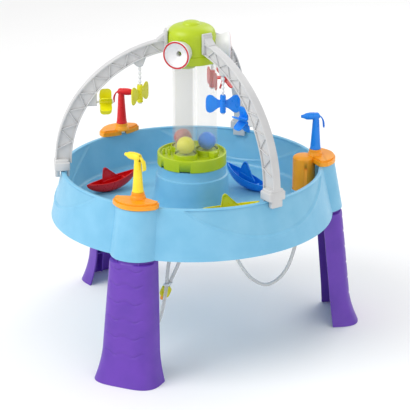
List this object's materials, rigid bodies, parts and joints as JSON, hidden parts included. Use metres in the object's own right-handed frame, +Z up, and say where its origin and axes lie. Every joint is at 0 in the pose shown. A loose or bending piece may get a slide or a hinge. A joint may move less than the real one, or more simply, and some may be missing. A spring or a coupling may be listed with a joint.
{
  "type": "sand and water table",
  "caption": "Round sand and water table on splayed legs, with a central tower of clear ball tubes, arches with spinners and paddle wheels, squirting pumps, hoses and small boats.",
  "frame": {"origin": "on the ground, under the middle of the bounding box; the tower's axis stands at x 0, y 0.039 m", "axes": "+Z up; -Y towards the front leg, whose squirter is yellow; +X to the right seen from the front"},
  "size_m": [0.8348, 0.8261, 0.84],
  "materials": {
    "light_blue_plastic": "satin moulded polyethylene",
    "purple_plastic": "satin moulded polyethylene",
    "lime_plastic": "semi-gloss moulded",
    "clear_plastic": "clear, smooth",
    "grey_plastic": "semi-gloss moulded",
    "white_plastic": "semi-gloss moulded",
    "orange_plastic": "semi-gloss moulded",
    "red_plastic": "semi-gloss moulded",
    "yellow_plastic": "semi-gloss moulded",
    "blue_plastic": "semi-gloss moulded",
    "hose_vinyl": "translucent, flexible",
    "spring_steel": "bright wire"
  },
  "bodies": {
    "table": {"basin": "light_blue_plastic", "leg_front": "purple_plastic", "leg_right": "purple_plastic", "leg_left": "purple_plastic", "tower_base": "lime_plastic", "tower_cap": "lime_plastic", "tube_front": "clear_plastic", "target_dish_front": "white_plastic", "target_ring_front": "red_plastic", "pump_base_front": "orange_plastic", "pump_hose_front": "hose_vinyl", "tube_right": "clear_plastic", "target_dish_right": "white_plastic", "target_ring_right": "red_plastic", "pump_base_right": "orange_plastic", "pump_hose_right": "hose_vinyl", "tube_left": "clear_plastic", "target_dish_left": "white_plastic", "target_ring_left": "red_plastic", "pump_base_left": "orange_plastic", "pump_hose_left": "hose_vinyl", "arch_left": "grey_plastic", "spinner_rod_left": "white_plastic", "wheel_axle_left": "white_plastic", "arch_right": "grey_plastic", "spinner_rod_right": "white_plastic", "wheel_axle_right": "white_plastic", "arch_rear": "grey_plastic", "spinner_rod_rear": "white_plastic", "wheel_axle_rear": "white_plastic", "drain_hose": "hose_vinyl", "drain_valve": "yellow_plastic", "drain_cap": "orange_plastic", "hose_clip": "white_plastic"},
    "squirter_front": {"squirter_front": "yellow_plastic", "return_spring_front": "spring_steel"},
    "trigger_front": {"trigger_front": "yellow_plastic"},
    "plunger_front": {"plunger_front": "white_plastic"},
    "ball_front": {"ball_front": "yellow_plastic"},
    "squirter_right": {"squirter_right": "blue_plastic", "return_spring_right": "spring_steel"},
    "trigger_right": {"trigger_right": "blue_plastic"},
    "plunger_right": {"plunger_right": "white_plastic"},
    "ball_right": {"ball_right": "blue_plastic"},
    "squirter_left": {"squirter_left": "red_plastic", "return_spring_left": "spring_steel"},
    "trigger_left": {"trigger_left": "red_plastic"},
    "plunger_left": {"plunger_left": "white_plastic"},
    "ball_left": {"ball_left": "red_plastic"},
    "bow_left": {"bow_spinner_left": "yellow_plastic"},
    "wheel_left": {"paddle_wheel_left": "yellow_plastic"},
    "bow_right": {"bow_spinner_right": "blue_plastic"},
    "wheel_right": {"paddle_wheel_right": "blue_plastic"},
    "bow_rear": {"bow_spinner_rear": "red_plastic"},
    "wheel_rear": {"paddle_wheel_rear": "red_plastic"},
    "boat_red": {"boat_red": "red_plastic"},
    "boat_blue": {"boat_blue": "blue_plastic"},
    "boat_yellow": {"boat_yellow": "yellow_plastic"}
  },
  "joints": [
    {"name": "squirter_swivel_front", "type": "hinge", "parent": "table", "child": "squirter_front", "pos_m": [0, -0.291, 0.482], "axis": [0, 0, 1], "range_deg": [-150, 150]},
    {"name": "trigger_pull_front", "type": "hinge", "parent": "squirter_front", "child": "trigger_front", "pos_m": [-0.00966, -0.28841, 0.574], "axis": [0.2588, 0.9659, 0], "range_deg": [0, 12]},
    {"name": "plunger_push_front", "type": "slide", "parent": "squirter_front", "child": "plunger_front", "axis": [0, 0, -1], "range_m": [0, 0.00209], "stiffness_N_per_m": 150, "springref_m": -0.0015, "deforming": ["return_spring_front"]},
    {"name": "ball_rise_front", "type": "slide", "parent": "table", "child": "ball_front", "axis": [0, 0, 1], "range_m": [0, 0.185]},
    {"name": "squirter_swivel_right", "type": "hinge", "parent": "table", "child": "squirter_right", "pos_m": [0.28579, 0.204, 0.482], "axis": [0, 0, 1], "range_deg": [-150, 150]},
    {"name": "trigger_pull_right", "type": "hinge", "parent": "squirter_right", "child": "trigger_right", "pos_m": [0.27713, 0.199, 0.574], "axis": [-0.5, 0.866, 0], "range_deg": [0, 12]},
    {"name": "plunger_push_right", "type": "slide", "parent": "squirter_right", "child": "plunger_right", "axis": [0, 0, -1], "range_m": [0, 0.00209], "stiffness_N_per_m": 150, "springref_m": -0.0015, "deforming": ["return_spring_right"]},
    {"name": "ball_rise_right", "type": "slide", "parent": "table", "child": "ball_right", "axis": [0, 0, 1], "range_m": [0, 0.185]},
    {"name": "squirter_swivel_left", "type": "hinge", "parent": "table", "child": "squirter_left", "pos_m": [-0.28579, 0.204, 0.482], "axis": [0, 0, 1], "range_deg": [-150, 150]},
    {"name": "trigger_pull_left", "type": "hinge", "parent": "squirter_left", "child": "trigger_left", "pos_m": [-0.27609, 0.20642, 0.574], "axis": [0.2419, -0.9703, 0], "range_deg": [0, 12]},
    {"name": "plunger_push_left", "type": "slide", "parent": "squirter_left", "child": "plunger_left", "axis": [0, 0, -1], "range_m": [0, 0.00209], "stiffness_N_per_m": 150, "springref_m": -0.0015, "deforming": ["return_spring_left"]},
    {"name": "ball_rise_left", "type": "slide", "parent": "table", "child": "ball_left", "axis": [0, 0, 1], "range_m": [0, 0.185]},
    {"name": "bow_spin_left", "type": "hinge", "parent": "table", "child": "bow_left", "pos_m": [-0.11691, -0.0285, 0.6505], "axis": [0, 0, 1], "continuous": true},
    {"name": "wheel_spin_left", "type": "hinge", "parent": "table", "child": "wheel_left", "pos_m": [-0.19442, -0.07325, 0.631], "axis": [-0.866, -0.5, 0], "continuous": true},
    {"name": "bow_spin_right", "type": "hinge", "parent": "table", "child": "bow_right", "pos_m": [0.11691, -0.0285, 0.6505], "axis": [0, 0, 1], "continuous": true},
    {"name": "wheel_spin_right", "type": "hinge", "parent": "table", "child": "wheel_right", "pos_m": [0.19442, -0.07325, 0.631], "axis": [0.866, -0.5, 0], "continuous": true},
    {"name": "bow_spin_rear", "type": "hinge", "parent": "table", "child": "bow_rear", "pos_m": [0, 0.174, 0.6505], "axis": [0, 0, 1], "continuous": true},
    {"name": "wheel_spin_rear", "type": "hinge", "parent": "table", "child": "wheel_rear", "pos_m": [0, 0.2635, 0.631], "axis": [0, 1, 0], "continuous": true},
    {"name": "boat_float_red", "type": "slide", "parent": "table", "child": "boat_red", "axis": [0, 0, 1], "range_m": [0, 0.08]},
    {"name": "boat_float_blue", "type": "slide", "parent": "table", "child": "boat_blue", "axis": [0, 0, 1], "range_m": [0, 0.08]},
    {"name": "boat_float_yellow", "type": "slide", "parent": "table", "child": "boat_yellow", "axis": [0, 0, 1], "range_m": [0, 0.08]}
  ],
  "couplings": [
    {"joint": "trigger_pull_front", "follows": "plunger_push_front", "rad_per_m": 100},
    {"joint": "trigger_pull_right", "follows": "plunger_push_right", "rad_per_m": 100},
    {"joint": "trigger_pull_left", "follows": "plunger_push_left", "rad_per_m": 100}
  ]
}
